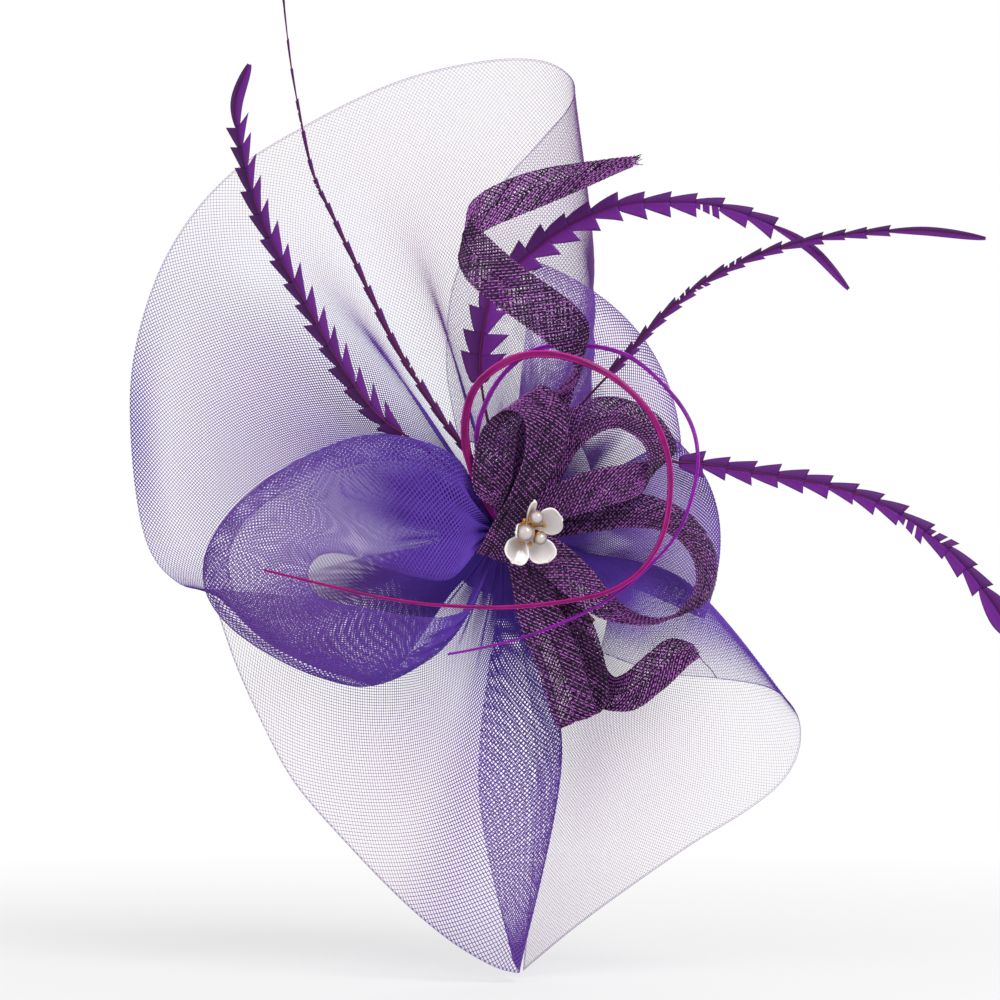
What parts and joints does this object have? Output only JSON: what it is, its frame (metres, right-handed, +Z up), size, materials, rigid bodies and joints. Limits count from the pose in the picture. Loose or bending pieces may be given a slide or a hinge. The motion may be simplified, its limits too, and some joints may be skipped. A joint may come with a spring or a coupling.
{
  "type": "fascinator headpiece",
  "caption": "Clip-on fascinator: gathered purple crinoline fans and face veil with looped sinamay, arrow-cut feathers, ring quills and a pearl flower on a felt-backed base.",
  "frame": {"origin": "middle of the hair clip's grip, between its closed jaws", "axes": "+Z up as worn and pictured, +Y from the viewer toward the wearer's head, +X to the viewer's right"},
  "size_m": [0.4422, 0.1411, 0.4987],
  "materials": {
    "crinoline": "open nylon net with a soft sheen",
    "sinamay": "open bias weave with glints",
    "feather": "matte",
    "quill_magenta": "glossy",
    "quill_purple": "glossy",
    "quill_maroon": "satin",
    "petal": "pearlescent",
    "pearl": "lustrous",
    "gold": "polished",
    "steel": "satin",
    "thread": "matte",
    "felt": "matte",
    "binding": "satin",
    "glue": "matte",
    "buckram": "matte"
  },
  "bodies": {
    "headpiece": {"base_disc": "buckram", "felt_backing": "felt", "rim_binding": "binding", "bound_core": "glue", "clip_fixed_jaw": "steel", "clip_pin": "steel", "clip_spring": "steel", "clip_stitches": "thread", "crown_fan": "crinoline", "brow_puff": "crinoline", "face_veil": "crinoline", "right_fan": "crinoline", "upper_right_loop": "crinoline", "right_loop": "crinoline", "tall_curl": "sinamay", "top_loop": "sinamay", "upper_side_loop": "sinamay", "lower_side_loop": "sinamay", "hanging_strap": "sinamay", "lower_curl": "sinamay", "left_arrow_feather": "feather", "left_thin_feather": "feather", "centre_arrow_feather": "feather", "upper_right_feather": "feather", "right_arrow_feather": "feather", "thick_ring_quill": "quill_magenta", "thin_ring_quill": "quill_purple", "quill_stub": "quill_maroon", "flower_stem": "gold", "flower_cup": "gold", "petal_right": "petal", "petal_top": "petal", "petal_left": "petal", "petal_lower_left": "petal", "petal_lower_right": "petal", "big_pearl": "pearl", "upper_pearl": "pearl", "side_pearl": "pearl", "stamens": "gold"},
    "clip_jaw": {"clip_moving_jaw": "steel"}
  },
  "joints": [
    {"name": "clip_hinge", "type": "hinge", "parent": "headpiece", "child": "clip_jaw", "pos_m": [0.01, 0.0042, 0], "axis": [0, 0, -1], "range_deg": [0, 25], "stiffness_Nm_per_rad": 0.06, "springref_deg": -17.19, "deforming": ["clip_spring"]}
  ]
}
